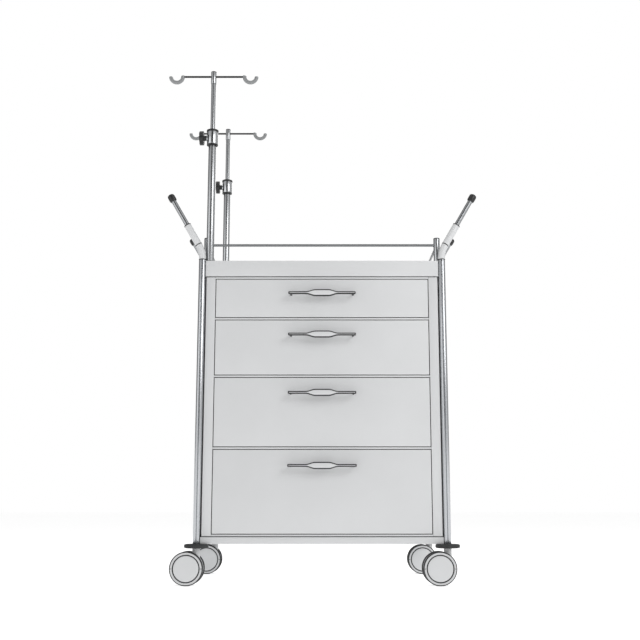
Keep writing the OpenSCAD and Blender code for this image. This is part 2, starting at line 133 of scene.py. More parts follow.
@dataclass(frozen=True)
class Finish:
    """A surface finish as it is made, with the numbers that its material starts from."""

    NOISE_LOW: ClassVar[float] = 0.3         # a noise node's values mostly lie between these two
    NOISE_HIGH: ClassVar[float] = 0.7
    PATCHES: ClassVar[float] = 9.0           # patches of colour to the metre, a hand's breadth each
    WEAR_REACH: ClassVar[float] = 1.2 * MM   # how far in from an edge the rubbing goes
    WEAR_STARTS: ClassVar[float] = 0.995     # cosine of the bend at which wear starts to show
    WEAR_FULL: ClassVar[float] = 0.9         # and at which it is full
    WEAR_MOST: ClassVar[float] = 0.55
    GAP_SHADE_REACH: ClassVar[float] = 10 * MM    # how close a neighbour has to be for the painted shade to show
    GAP_SHADE_STARTS: ClassVar[float] = 0.62      # share of open sky below which the painted shade starts to show
    GAP_SHADE_FULL: ClassVar[float] = 0.2
    GAP_SHADE_MOST: ClassVar[float] = 0.95

    name: str
    colour: str
    roughness: float
    texture: Texture
    relief: float                  # depth of the texture's relief, in metres
    metallic: float = 0.0
    ior: float = 1.5
    blotch: float = 0.018          # how far the colour drifts over a hand's breadth
    streak: float = 0.06           # how far the roughness follows the texture
    gap_shade: str | None = None        # colour of the painted shade in joints and gaps
    wear: str | None = None        # colour where edges are rubbed

    def material(self) -> Material:
        """Builds the finish's node material on Object coordinates.

        Returns:
            The material, shared by all pieces with this finish.
        """
        made = bpy.data.materials.get(self.name)
        if made:
            return made
        made = bpy.data.materials.new(self.name)
        made.use_nodes = True
        tree = made.node_tree
        shader = tree.nodes["Principled BSDF"]
        place = add_node(tree, "TexCoord").outputs["Object"]
        pitch = tuple(1 / p for p in self.texture.value)
        local = add_node(tree, "Mapping", {"Scale": pitch}, {"Vector": place}).outputs["Vector"]
        fine = add_node(
            tree, "TexNoise", {"Scale": 1.0, "Detail": 3.0, "Roughness": 0.55}, {"Vector": local}
        ).outputs["Fac"]
        broad = add_node(
            tree, "TexNoise", {"Scale": self.PATCHES, "Detail": 3.0, "Roughness": 0.6},
            {"Vector": place},
        ).outputs["Fac"]

        # the colour drifts a little with the batch of paint or granulate
        drift = add_node(
            tree, "MapRange",
            {"From Min": self.NOISE_LOW, "From Max": self.NOISE_HIGH,
             "To Min": 1 - self.blotch, "To Max": 1 + self.blotch / 3},
            {"Value": broad},
        ).outputs["Result"]
        colour = add_node(
            tree, "HueSaturation", {"Color": linear(self.colour)}, {"Value": drift}
        ).outputs["Color"]
        if self.wear:
            colour = self._rubbed(tree, colour, fine)
        # painted shade: a nearly black colour darkens the joints and gaps
        if self.gap_shade:
            colour = self._shade_gaps(tree, colour)
        tree.links.new(colour, shader.inputs["Base Color"])

        rough = add_node(
            tree, "MapRange",
            {"From Min": self.NOISE_LOW, "From Max": self.NOISE_HIGH,
             "To Min": self.roughness - self.streak, "To Max": self.roughness + self.streak},
            {"Value": self._mean(tree, fine, broad)},
        ).outputs["Result"]
        tree.links.new(rough, shader.inputs["Roughness"])
        bump = add_node(
            tree, "Bump", {"Strength": 1.0, "Distance": self.relief}, {"Height": fine}
        ).outputs["Normal"]
        tree.links.new(bump, shader.inputs["Normal"])

        shader.inputs["Metallic"].default_value = self.metallic
        shader.inputs["IOR"].default_value = self.ior
        return made

    @staticmethod
    def _mean(tree: NodeTree, first: NodeSocket, second: NodeSocket) -> NodeSocket:
        """Takes the mean of two patterns.

        Args:
            tree: the material's node tree.
            first: one pattern.
            second: the other.

        Returns:
            Their mean.
        """
        total = add_node(tree, "Math", {}, {0: first, 1: second}, operation="ADD").outputs["Value"]
        return add_node(tree, "Math", {1: 0.5}, {0: total}, operation="MULTIPLY").outputs["Value"]

    def _rubbed(self, tree: NodeTree, colour: NodeSocket, fine: NodeSocket) -> NodeSocket:
        """Mixes in the worn colour where a bevelled normal leaves the true one.

        Args:
            tree: the material's node tree.
            colour: the colour so far.
            fine: the fine pattern, which breaks the wear up.

        Returns:
            The colour with worn edges.
        """
        rounded = add_node(tree, "Bevel", {"Radius": self.WEAR_REACH}, samples=4).outputs["Normal"]
        true = add_node(tree, "NewGeometry").outputs["Normal"]
        same = add_node(
            tree, "VectorMath", {}, {0: rounded, 1: true}, operation="DOT_PRODUCT"
        ).outputs["Value"]
        edge = add_node(
            tree, "MapRange",
            {"From Min": self.WEAR_STARTS, "From Max": self.WEAR_FULL,
             "To Min": 0.0, "To Max": self.WEAR_MOST},
            {"Value": same},
        ).outputs["Result"]
        amount = add_node(tree, "Math", {}, {0: edge, 1: fine}, operation="MULTIPLY").outputs["Value"]
        return self._blend(tree, amount, colour, self.wear)

    def _shade_gaps(self, tree: NodeTree, colour: NodeSocket) -> NodeSocket:
        """Mixes in a painted shade, a nearly black colour, where the surface is shut in by its neighbours.

        Args:
            tree: the material's node tree.
            colour: the colour so far.

        Returns:
            The colour with painted shade in its joints and gaps.
        """
        open_sky = add_node(
            tree, "AmbientOcclusion", {"Distance": self.GAP_SHADE_REACH}, samples=6
        ).outputs["AO"]
        shut = add_node(
            tree, "MapRange",
            {"From Min": self.GAP_SHADE_STARTS, "From Max": self.GAP_SHADE_FULL,
             "To Min": 0.0, "To Max": self.GAP_SHADE_MOST},
            {"Value": open_sky},
        ).outputs["Result"]
        return self._blend(tree, shut, colour, self.gap_shade)

    @staticmethod
    def _blend(tree: NodeTree, amount: NodeSocket, colour: NodeSocket, other: str) -> NodeSocket:
        """Mixes a colour with another.

        Args:
            tree: the material's node tree.
            amount: the share of the other colour.
            colour: the colour so far.
            other: the other colour, as a hex code.

        Returns:
            The mixed colour.
        """
        mix = add_node(tree, "Mix", data_type="RGBA")
        mix.inputs[7].default_value = linear(other)
        tree.links.new(amount, mix.inputs[0])
        tree.links.new(colour, mix.inputs[6])
        return mix.outputs[2]


# Epoxy powder coat on sheet steel: satin, with a faint orange peel and rubbed folds, and painted shade in
# its joints
POWDER_COAT = Finish("powder_coated_steel", "#cdcecf", 0.42, Texture.PEEL, 0.06 * MM,
                     gap_shade="#1c1d1e", wear="#e0e1e1")
# The same coat inside the drawers, in a darker colour as painted shade, since it stands out of the light,
# and rougher as it is less handled
POWDER_COAT_SHADED_INSIDE = Finish("powder_coated_steel_inside", "#bfc1c2", 0.5, Texture.PEEL, 0.06 * MM)
# Injection-moulded ABS: matt from a spark-eroded mould, lighter where its edges are rubbed, with painted
# shade in its joints
MOULDED_ABS = Finish("moulded_abs", "#cecfd0", 0.38, Texture.GRAIN, 0.035 * MM, ior=1.53,
                     gap_shade="#1c1d1e", wear="#e2e3e3")
# Moulded nylon: slightly duller and softer looking than ABS, with painted shade in its joints
MOULDED_NYLON = Finish("moulded_nylon", "#cdcecf", 0.46, Texture.GRAIN, 0.04 * MM, ior=1.53,
                       gap_shade="#1e1f20")
# Soft PVC sleeve on a steel hook: mid grey and a little waxy
PVC_SLEEVE = Finish("grey_pvc_sleeve", "#87898a", 0.35, Texture.CAST, 0.02 * MM, ior=1.53, blotch=0.06)
# Polyurethane tyre: matt, a shade darker than the hub, with a soft skin and painted shade in its joints
POLYURETHANE = Finish("polyurethane_tyre", "#c6c7c8", 0.55, Texture.CAST, 0.05 * MM,
                      gap_shade="#1e1f20")
# Black elastomer for treads, seals and bumpers: dull and a little patchy
ELASTOMER = Finish("black_elastomer", "#1f2021", 0.62, Texture.CAST, 0.07 * MM, ior=1.52, blotch=0.12)
# Black glass-filled nylon: fine grain with a low gloss
BLACK_NYLON = Finish("black_nylon", "#161718", 0.45, Texture.GRAIN, 0.04 * MM, ior=1.53, blotch=0.1)
# Extruded aluminium, satin anodised, with die lines along its length
ANODISED = Finish("anodised_aluminium", "#b4b6b9", 0.24, Texture.BRUSHED_Z, 0.0003 * MM, metallic=1.0,
                  blotch=0.02, streak=0.015)
# Stainless steel tube, brushed along its length, whichever way it runs; tubes along X or Y and the leaning
# handle rods get darker colours than the upright ones, as painted shade
STAINLESS_UP = Finish("brushed_stainless_upright", "#adafb1", 0.26, Texture.BRUSHED_Z, 0.0003 * MM,
                      metallic=1.0, blotch=0.02, streak=0.015)
STAINLESS_ALONG_SHADED = Finish("brushed_stainless_along", "#8c8e90", 0.26, Texture.BRUSHED_X, 0.0003 * MM,
                         metallic=1.0, blotch=0.02, streak=0.015)
STAINLESS_ACROSS_SHADED = Finish("brushed_stainless_across", "#9c9ea0", 0.26, Texture.BRUSHED_Y, 0.0003 * MM,
                          metallic=1.0, blotch=0.02, streak=0.015)
# Turned aluminium with fine rings round its axis
TURNED = Finish("turned_aluminium", "#bcbec0", 0.22, Texture.TURNED_Z, 0.001 * MM, metallic=1.0,
                blotch=0.02, streak=0.02)
# Zinc-plated steel: bright grey with a slightly blue, cloudy passivation
ZINC = Finish("zinc_plated_steel", "#a4a8ac", 0.33, Texture.CAST, 0.015 * MM, metallic=1.0, blotch=0.16)
# Black oxide on steel: nearly black with a soft metallic sheen
BLACK_OXIDE = Finish("black_oxide_steel", "#1e1f20", 0.42, Texture.BRUSHED_X, 0.003 * MM, metallic=0.4,
                     blotch=0.08)


# ---- modelling by hand ----


def clear_selection() -> None:
    """Leaves edit mode and deselects every object."""
    if bpy.context.mode != "OBJECT":
        bpy.ops.object.mode_set(mode="OBJECT")
    bpy.ops.object.select_all(action="DESELECT")


def hold(piece: Object) -> None:
    """Makes a piece the only selected object and the active one.

    Args:
        piece: the piece.
    """
    clear_selection()
    piece.select_set(True)
    bpy.context.view_layer.objects.active = piece


def settle(name: str) -> Object:
    """Names the new primitive and puts its place into its mesh.

    Args:
        name: the piece's name.

    Returns:
        The piece.
    """
    piece = bpy.context.object
    piece.name = name
    piece.data.name = name
    bpy.ops.object.transform_apply(location=True, rotation=True, scale=True)
    return piece


def block(name: str, low: Vector, high: Vector) -> Object:
    """Adds a cube that fills the space between two corners.

    Args:
        name: the piece's name.
        low: the lowest corner.
        high: the highest corner.

    Returns:
        The piece.
    """
    clear_selection()
    bpy.ops.mesh.primitive_cube_add(size=1, location=(low + high) / 2, scale=high - low)
    return settle(name)


def disc(name: str, radius: float, steps: int = 48) -> Object:
    """Adds a filled circle round the origin, ready to be extruded or spun.

    Args:
        name: the piece's name.
        radius: the circle's radius.
        steps: the number of its corners.

    Returns:
        The piece.
    """
    clear_selection()
    bpy.ops.mesh.primitive_circle_add(vertices=steps, radius=radius, fill_type="NGON")
    return settle(name)


def pick(piece: Object, test: Test, kind: str = "FACE") -> None:
    """Enters edit mode with only the elements that pass a test selected.

    Args:
        piece: the piece.
        test: gets an element's middle and its normal, or an edge's direction, and says yes or no.
        kind: "VERT", "EDGE" or "FACE".
    """
    hold(piece)
    bpy.ops.object.mode_set(mode="EDIT")
    bpy.ops.mesh.select_mode(type=kind)
    bpy.ops.mesh.select_all(action="DESELECT")
    shape = bmesh.from_edit_mesh(piece.data)
    shape.normal_update()
    if kind == "FACE":
        found = [f for f in shape.faces if test(f.calc_center_median(), f.normal)]
    elif kind == "EDGE":
        found = [
            e for e in shape.edges
            if test((e.verts[0].co + e.verts[1].co) / 2, (e.verts[1].co - e.verts[0].co).normalized())
        ]
    else:
        found = [v for v in shape.verts if test(v.co, v.normal)]
    for element in found:
        element.select_set(True)
    shape.select_flush_mode()
    bmesh.update_edit_mesh(piece.data)


def everything(_middle: Vector, _normal: Vector) -> bool:
    """Passes every element."""
    return True


def mend(piece: Object) -> None:
    """Merges a spun or extruded shape's doubles and turns its faces outwards.

    Args:
        piece: the piece.
    """
    pick(piece, everything, "VERT")
    bpy.ops.mesh.remove_doubles(threshold=0.001 * MM)
    bpy.ops.mesh.normals_make_consistent(inside=False)
    bpy.ops.object.mode_set(mode="OBJECT")


def lathe(name: str, profile: Profile, steps: int = 64) -> Object:
    """Turns a half section round Z, from its first point to its last.

    A profile that starts and ends on the axis closes there, and any other is closed from its
    last point to its first.

    Args:
        name: the piece's name.
        profile: radius and height of each point, in metres.
        steps: the number of steps round the axis.

    Returns:
        The piece, with its axis on Z.
    """
    clear_selection()
    bpy.ops.mesh.primitive_plane_add(size=MM)
    piece = settle(name)
    bpy.ops.object.mode_set(mode="EDIT")
    bpy.ops.mesh.select_mode(type="VERT")
    bpy.ops.mesh.select_all(action="SELECT")
    bpy.ops.mesh.merge(type="CENTER")
    bpy.ops.transform.translate(value=(profile[0][0], 0, profile[0][1]))
    for (r0, z0), (r1, z1) in zip(profile, profile[1:]):
        bpy.ops.mesh.extrude_vertices_move(TRANSFORM_OT_translate={"value": (r1 - r0, 0, z1 - z0)})
    if profile[0][0] > 0:
        ends = [Vector((r, 0, z)) for r, z in (profile[0], profile[-1])]
        pick(piece, lambda at, _: min((at - end).length for end in ends) < 0.01 * MM, "VERT")
        bpy.ops.mesh.edge_face_add()
    bpy.ops.mesh.select_all(action="SELECT")
    bpy.ops.mesh.spin(steps=steps, angle=2 * math.pi, center=(0, 0, 0), axis=(0, 0, 1))
    mend(piece)
    return piece


def raise_up(piece: Object, move: Vector) -> None:
    """Extrudes a flat piece's one face along a vector and closes it.

    Args:
        piece: the flat piece.
        move: how far and which way.
    """
    pick(piece, everything)
    bpy.ops.mesh.extrude_region_move(TRANSFORM_OT_translate={"value": move})
    mend(piece)


def place(piece: Object, at: Vector, turn: tuple[float, float, float] = (0, 0, 0)) -> Object:
    """Turns a piece about the origin, then moves it, within its mesh.

    Args:
        piece: the piece.
        at: where its origin goes.
        turn: angles about X, Y and Z.

    Returns:
        The piece.
    """
    hold(piece)
    piece.rotation_euler = turn
    piece.location = at
    bpy.ops.object.transform_apply(location=True, rotation=True, scale=True)
    return piece


def modify(piece: Object, kind: str, **settings: object) -> None:
    """Adds a modifier and applies it.

    Args:
        piece: the piece.
        kind: the modifier's type.
        **settings: its fields.
    """
    hold(piece)
    modifier = piece.modifiers.new(kind.title(), kind)
    for field_name, value in settings.items():
        setattr(modifier, field_name, value)
    bpy.ops.object.modifier_apply(modifier=modifier.name)


def soften(piece: Object, width: float, segments: int = 3) -> Object:
    """Rounds a piece's sharp edges and smooths its shading.

    Args:
        piece: the piece.
        width: how far the rounding reaches from an edge.
        segments: faces across the rounding.

    Returns:
        The piece.
    """
    modify(piece, "BEVEL", width=width, segments=segments, limit_method="ANGLE",
           angle_limit=SMOOTH_ANGLE, use_clamp_overlap=True)
    hold(piece)
    bpy.ops.object.shade_smooth_by_angle(angle=SMOOTH_ANGLE)
    return piece


def join(name: str, *parts: Object) -> Object:
    """Joins parts that are welded or moulded as one.

    Args:
        name: the whole piece's name.
        *parts: its parts.

    Returns:
        The whole piece.
    """
    hold(parts[0])
    for part in parts:
        part.select_set(True)
    bpy.ops.object.join()
    parts[0].name = name
    parts[0].data.name = name
    return parts[0]


def twin(piece: Object, name: str, change: Matrix) -> Object:
    """Copies a piece with its own mesh.

    Args:
        piece: the piece.
        name: the copy's name.
        change: what is done to the copy's mesh.

    Returns:
        The copy.
    """
    copy = piece.copy()
    copy.data = piece.data.copy()
    copy.name = name
    copy.data.name = name
    bpy.context.scene.collection.objects.link(copy)
    copy.data.transform(change)
    if change.determinant() < 0:
        copy.data.flip_normals()
    return copy


def worked_copy(node: str, name: str) -> Object:
    """Copies a CAD node's shape as a clean mesh that can be rounded and cut.

    Args:
        node: the CAD node.
        name: the copy's name.

    Returns:
        The copy, merged, with its flat sides whole.
    """
    copy = twin(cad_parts[node], name, Matrix.Identity(4))
    copy.parent = None
    for key in list(copy.keys()):
        del copy[key]
    copy.data.materials.clear()
    mend(copy)
    pick(copy, everything)
    bpy.ops.mesh.dissolve_limited(angle_limit=math.radians(0.5))
    bpy.ops.object.mode_set(mode="OBJECT")
    return copy


def dress(piece: Object, finish: Finish, slot: str, body: str, *nodes: str) -> Object:
    """Gives a piece its finish and its body, and reports it.

    Args:
        piece: the piece.
        finish: its finish.
        slot: the record's material slot; not used.
        body: the CAD body that it rides on.
        *nodes: the CAD nodes that it stands for.

    Returns:
        The piece.
    """
    piece.data.materials.clear()
    piece.data.materials.append(finish.material())
    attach(piece, body)
    if nodes:
        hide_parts(*nodes)
    log.info("%s: %d faces, %s", piece.name, len(piece.data.polygons), finish.name)
    return piece


def dress_node(node: str, finish: Finish) -> None:
    """Gives a CAD node that stays in view its finish.

    Args:
        node: the CAD node.
        finish: its finish.
    """
    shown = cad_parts[node]
    for material_slot in shown.material_slots:
        material_slot.material = finish.material()
    log.info("%s: CAD shape, %s", node, finish.name)


# ---- the cart ----


@dataclass
class FaceFrame:
    """The uprights and rails round the drawers, with a shadow gap round each front."""

    edge: float = 0.45 * MM

    def build(self) -> None:
        """Rounds the folded edges of the uprights and the rails."""
        for node, name in (("front_stiles", "stile_pressings"), ("front_rails", "rail_pressings")):
            dress(soften(worked_copy(node, name), self.edge, 2), POWDER_COAT, "panel", "root", node)


@dataclass
class Column:
    """An extruded column with a groove down its front and its back."""

    groove: float = 2.6 * MM
    edge: float = 0.3 * MM

    def build(self) -> None:
        """Builds one column and copies it to the other corners."""
        low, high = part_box("columns_front")
        radius = (high.y - low.y) / 2
        first = disc("column_front_left", radius)
        for facing in (FRONT, REAR):
            pick(first, lambda at, _, f=facing: at.y * f > radius * 0.999, "VERT")
            bpy.ops.transform.translate(value=(0, -facing * self.groove, 0))
        raise_up(first, Vector((0, 0, high.z - low.z)))
        soften(first, self.edge, 2)
        x = high.x - radius
        place(first, Vector((-x, low.y + radius, low.z)))
        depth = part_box("columns_rear")[0].y - low.y
        columns = [first]
        for name, move in (
            ("column_front_right", (2 * x, 0, 0)),
            ("column_rear_left", (0, depth, 0)),
            ("column_rear_right", (2 * x, depth, 0)),
        ):
            columns.append(twin(first, name, Matrix.Translation(move)))
        for column in columns:
            node = "columns_front" if "front" in column.name else "columns_rear"
            dress(column, ANODISED, "column", "root", node)


@dataclass
class Body:
    """Base, worktop and closed sides."""

    frame_w: float = 24 * MM
    field_depth: float = 1.2 * MM
    field_slope: float = 2.5 * MM
    sheet: float = 1.5 * MM
    screw_r: float = 4.2 * MM
    screw_inset: float = 12 * MM
    worktop_edge: float = 2.2 * MM
    base_edge: float = 0.9 * MM
    panel_edge: float = 0.7 * MM

    def build(self) -> None:
        """Builds the decks and the panels."""
        top = soften(worked_copy("worktop", "worktop_moulding"), self.worktop_edge, 4)
        dress(top, MOULDED_ABS, "worktop", "root", "worktop")
        base = soften(worked_copy("base_panel", "base_pan"), self.base_edge, 3)
        dress(base, POWDER_COAT, "panel", "root", "base_panel")
        self.panel("side_panel_left", Vector((-1, 0, 0)))
        self.panel("side_panel_right", Vector((1, 0, 0)))
        self.panel("rear_panel", Vector((0, 1, 0)))
        dress_node("slide_uprights", ZINC)
        dress_node("slide_outer_members", ZINC)
        dress_node("pole_sockets", STAINLESS_UP)
        dress_node("caster_sockets", ZINC)

    def panel(self, node: str, out: Vector) -> None:
        """Builds a panel with a field pressed in from outside and screws down its sides.

        Args:
            node: the CAD node that it replaces.
            out: the direction that it faces.
        """
        piece = worked_copy(node, node + "_pressing")
        low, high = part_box(node)
        face = max(low.dot(out), high.dot(out))
        for facing, plane, depth in (
            (1, face, -self.field_depth),
            (-1, face - self.sheet, self.field_depth),
        ):
            pick(piece, lambda at, normal, facing=facing, plane=plane: (
                normal.dot(out) * facing > 0.99 and abs(at.dot(out) - plane) < 0.1 * MM
            ))
            bpy.ops.mesh.inset(thickness=self.frame_w - (0 if facing > 0 else self.sheet), depth=0)
            bpy.ops.mesh.inset(thickness=self.field_slope, depth=depth)
        soften(piece, self.panel_edge, 3)
        dress(piece, POWDER_COAT, "panel", "root", node)
        across = Vector((0, 0, 1)).cross(out)
        middle = (low + high) / 2
        half = abs((high - low).dot(across)) / 2 - self.screw_inset
        rise = (high.z - low.z) / 2 - self.screw_inset
        flat = middle + out * (face - middle.dot(out))
        turn = out.to_track_quat("Z", "Y").to_euler()
        spots = [(s, t) for s in (-1, 1) for t in (-1, 0, 1)]
        heads = []
        for s, t in spots:
            at = flat + across * half * s + Vector((0, 0, 1)) * rise * t
            heads.append(place(self.screw(f"{node}_screw_{len(heads)}"), at, tuple(turn)))
        dress(join(node + "_screws", *heads), ZINC, "steel", "root")

    def screw(self, name: str) -> Object:
        """Builds a low button-head screw, its head on the XY plane.

        Args:
            name: its name.

        Returns:
            The screw.
        """
        r = self.screw_r
        head = lathe(name, [
            (0, -1 * MM), (r, -1 * MM), (r, 0.2 * MM), (0.75 * r, 0.62 * MM), (0, 0.8 * MM),
        ], 24)
        return soften(head, 0.1 * MM, 1)


@dataclass
class Drawer:
    """A drawer: its moulded front, its two-part pull and its box on slides."""

    number: int
    edge: float = 0.9 * MM
    rim: float = 3 * MM                # width of the front's back rim
    hollow: float = 1.5 * MM           # depth of the hollow inside it
    pull_t: float = 7 * MM             # thickness of the pull's bar
    pull_end_h: float = 8.3 * MM       # its height at its ends
    pull_mid_h: float = 21.5 * MM      # its height over its middle
    swell_from: float = 50 * MM        # where it starts to swell, from its middle
    swell_l: float = 30 * MM           # the length over which it does
    swell_step: float = 3 * MM
    end_taper: float = 0.72
    foot_x: float = 96 * MM
    foot_r: float = 3.6 * MM
    pull_border: float = 3.4 * MM      # the dark border round the inlay
    inlay_rise: float = 0.6 * MM
    inlay_t: float = 2 * MM

    def build(self) -> None:
        """Builds the front, the pull and the box."""
        self.front()
        self.pull()
        body = f"drawer_{self.number}"
        box = soften(worked_copy(f"{body}_box", f"{body}_tray"), 0.45 * MM, 2)
        dress(box, POWDER_COAT_SHADED_INSIDE, "drawer_box", body, f"{body}_box")
        dress_node(f"{body}_slide_inner", ZINC)
        dress_node(f"{body}_slide_middle", ZINC)

    def front(self) -> None:
        """Builds the front with rounded edges and a hollow back."""
        body = f"drawer_{self.number}"
        low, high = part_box(f"{body}_front")
        piece = block(f"{body}_fascia", low, high)
        pick(piece, lambda at, normal: normal.y > 0.9)
        bpy.ops.mesh.inset(thickness=self.rim, depth=0)
        bpy.ops.mesh.extrude_region_move(TRANSFORM_OT_translate={"value": (0, -self.hollow, 0)})
        soften(piece, self.edge, 4)
        dress(piece, MOULDED_ABS, "drawer_front", body, f"{body}_front")

    def half_height(self, x: float, inset: float = 0.0) -> float:
        """Half the pull's height at a distance from its middle.

        Args:
            x: the distance along the pull.
            inset: how far inside its outline.

        Returns:
            The half height.
        """
        t = min(max((self.swell_from - abs(x)) / self.swell_l, 0), 1)
        swell = (self.pull_mid_h - self.pull_end_h) * t * t * (3 - 2 * t)
        return (self.pull_end_h + swell) / 2 - inset

    def bar(self, name: str, half_length: float, inset: float, back: float, front: float) -> Object:
        """Extrudes a bar step by step along X to the pull's outline.

        Args:
            name: its name.
            half_length: from its middle to its end.
            inset: how far it stays inside the pull's outline.
            back: Y of its back.
            front: Y of its front.

        Returns:
            The bar, round X, with its middle height at zero.
        """
        stations = [-half_length, -half_length + 1.5 * MM]
        stations += [self.swell_step * i - self.swell_from for i in range(11)]
        stations += [0]
        stations += [-x for x in stations[-2::-1]]
        heights = [self.half_height(x, inset) for x in stations]
        heights[0] *= self.end_taper
        heights[-1] *= self.end_taper
        clear_selection()
        bpy.ops.mesh.primitive_plane_add(size=1, rotation=(0, -math.pi / 2, 0))
        piece = settle(name)
        bpy.ops.object.mode_set(mode="EDIT")
        bpy.ops.mesh.select_all(action="SELECT")
        bpy.ops.transform.resize(value=(1, back - front, 2 * heights[0]))
        bpy.ops.transform.translate(value=(stations[0], (back + front) / 2, 0))
        for i in range(1, len(stations)):
            bpy.ops.mesh.extrude_region_move(
                TRANSFORM_OT_translate={"value": (stations[i] - stations[i - 1], 0, 0)}
            )
            bpy.ops.transform.resize(value=(1, 1, heights[i] / heights[i - 1]))
        mend(piece)
        return piece

    def pull(self) -> None:
        """Builds the dark pull on its two feet and the light inlay let into its face."""
        body = f"drawer_{self.number}"
        low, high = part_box(f"{body}_pull")
        middle = Vector((0, 0, (low.z + high.z) / 2))
        back = low.y + self.pull_t
        bar = self.bar(f"{body}_pull_bar", high.x, 0, back, low.y + self.inlay_rise)
        soften(bar, 0.9 * MM, 3)
        feet = []
        r = self.foot_r
        waist = r * 0.86
        foot_l = high.y - back
        for side in (LEFT, RIGHT):
            foot = lathe(f"{body}_foot_{side}", [
                (0, -1 * MM), (r, -1 * MM), (waist, 2 * MM), (waist, foot_l - 3.5 * MM),
                (r, foot_l - 0.5 * MM), (r, foot_l), (0, foot_l),
            ], 32)
            soften(foot, 0.3 * MM, 2)
            feet.append(place(foot, Vector((side * self.foot_x, back, 0)), (-math.pi / 2, 0, 0)))
        whole = join(f"{body}_pull_body", bar, *feet)
        place(whole, middle)
        dress(whole, BLACK_NYLON, "pull", body, f"{body}_pull")
        inlay = self.bar(
            f"{body}_pull_inlay", high.x - self.pull_border, self.pull_border,
            low.y + self.inlay_t, low.y,
        )
        soften(inlay, 0.35 * MM, 2)
        place(inlay, middle)
        dress(inlay, MOULDED_NYLON, "grey_plastic", body)


@dataclass
class Castor:
    """A twin-wheel castor with its rubber bumper disc."""

    side: int
    end: int
    steps: int = 96
    bumper_r: float = 37 * MM
    bumper_bore: float = 5.7 * MM
    tread: float = 3 * MM              # thickness of the tread
    seal_in: float = 9 * MM            # from the tread's face to the seal's outside
    seal_w: float = 3.4 * MM
    seal_d: float = 7 * MM             # how deep the seal sits in the wheel's face

    @property
    def body(self) -> str:
        """The CAD body of its housing."""
        return f"caster_{END_WORD[self.end]}_{SIDE_WORD[self.side]}"

    def build(self) -> None:
        """Builds the bumper, the housing and the two wheels."""
        housing = soften(worked_copy(f"{self.body}_housing", f"{self.body}_yoke"), 0.8 * MM, 3)
        dress(housing, MOULDED_NYLON, "grey_plastic", self.body, f"{self.body}_housing")
        self.bumper()
        for letter, out in (("a", -1), ("b", 1)):
            self.wheel(letter, out)

    def bumper(self) -> None:
        """Builds the bumper disc with two lips round its rim."""
        low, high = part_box("caster_bumpers")
        r = self.bumper_r
        bore = self.bumper_bore
        t = high.z - low.z
        bumper = lathe(f"{self.body}_bumper", [
            (bore, 0), (r - 6 * MM, 0), (r - 1.6 * MM, 1.2 * MM), (r, 3.4 * MM), (r - 0.9 * MM, t / 2),
            (r, t - 3.4 * MM), (r - 1.6 * MM, t - 1.2 * MM), (r - 6 * MM, t), (bore, t),
        ])
        soften(bumper, 0.6 * MM, 2)
        place(bumper, Vector((self.side * (high.x - r), self.end * (high.y - r), low.z)))
        dress(bumper, ELASTOMER, "black_rubber", "root", "caster_bumpers")

    def wheel(self, letter: str, out: int) -> None:
        """Builds a tyre with its tread, and the crowned hub in its seal.

        Args:
            letter: "a" for the front wheel of the pair, "b" for the rear one.
            out: the direction that its outer face looks along Y.
        """
        node = f"{self.body}_wheel_{letter}"
        low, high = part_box(node)
        r = (high.z - low.z) / 2
        w = high.y - low.y
        tread = self.tread
        groove = r - self.seal_in
        ledge = w - self.seal_d
        tyre = lathe(f"{node}_tyre", [
            (groove, 1.5 * MM), (r - 5 * MM, 0.6 * MM), (r - tread, 1.4 * MM),
            (r - tread, w - 1.2 * MM), (r - 4 * MM, w - 0.2 * MM), (groove + 0.6 * MM, w),
            (groove, w - 0.6 * MM),
        ], self.steps)
        soften(tyre, 0.4 * MM, 2)
        band = lathe(f"{node}_tread", [
            (r - tread, 2 * MM), (r - 0.8 * MM, 2.4 * MM), (r, 4.5 * MM), (r, w - 4.5 * MM),
            (r - 0.8 * MM, w - 1.9 * MM), (r - tread, w - 1 * MM),
        ], self.steps)
        soften(band, 0.4 * MM, 2)
        cover = groove - self.seal_w
        seal = lathe(f"{node}_seal", [
            (cover, ledge), (groove, ledge), (groove, w - 1.4 * MM), (cover, w - 1.4 * MM),
        ], self.steps)
        soften(seal, 0.3 * MM, 2)
        hub = lathe(f"{node}_hub", [
            (0, 1 * MM), (groove, 1 * MM), (groove, ledge), (cover, ledge),
            (cover, w - 1 * MM), (cover - 1 * MM, w - 0.4 * MM), (cover * 0.8, w - 0.1 * MM), (0, w),
        ], self.steps)
        soften(hub, 0.4 * MM, 2)
        marks = []
        for side in (LEFT, RIGHT):
            low_mark = Vector((groove + 1.2 * MM, -0.9 * MM, w - 2 * MM))
            high_mark = Vector((r - tread - 0.6 * MM, 0.9 * MM, w - 0.05 * MM))
            mark = block(f"{node}_mark_{side}", low_mark, high_mark)
            marks.append(place(mark, Vector(), (0, 0, 0 if side == RIGHT else math.pi)))
        inner = Vector(((low.x + high.x) / 2, high.y if out < 0 else low.y, (low.z + high.z) / 2))
        turn = (math.pi / 2 if out < 0 else -math.pi / 2, 0, 0)
        dress(place(tyre, inner, turn), POLYURETHANE, "wheel", node, node)
        rubber = place(join(f"{node}_rubber", band, seal, *marks), inner, turn)
        dress(rubber, ELASTOMER, "black_rubber", node)
        dress(place(hub, inner, turn), MOULDED_NYLON, "grey_plastic", node)


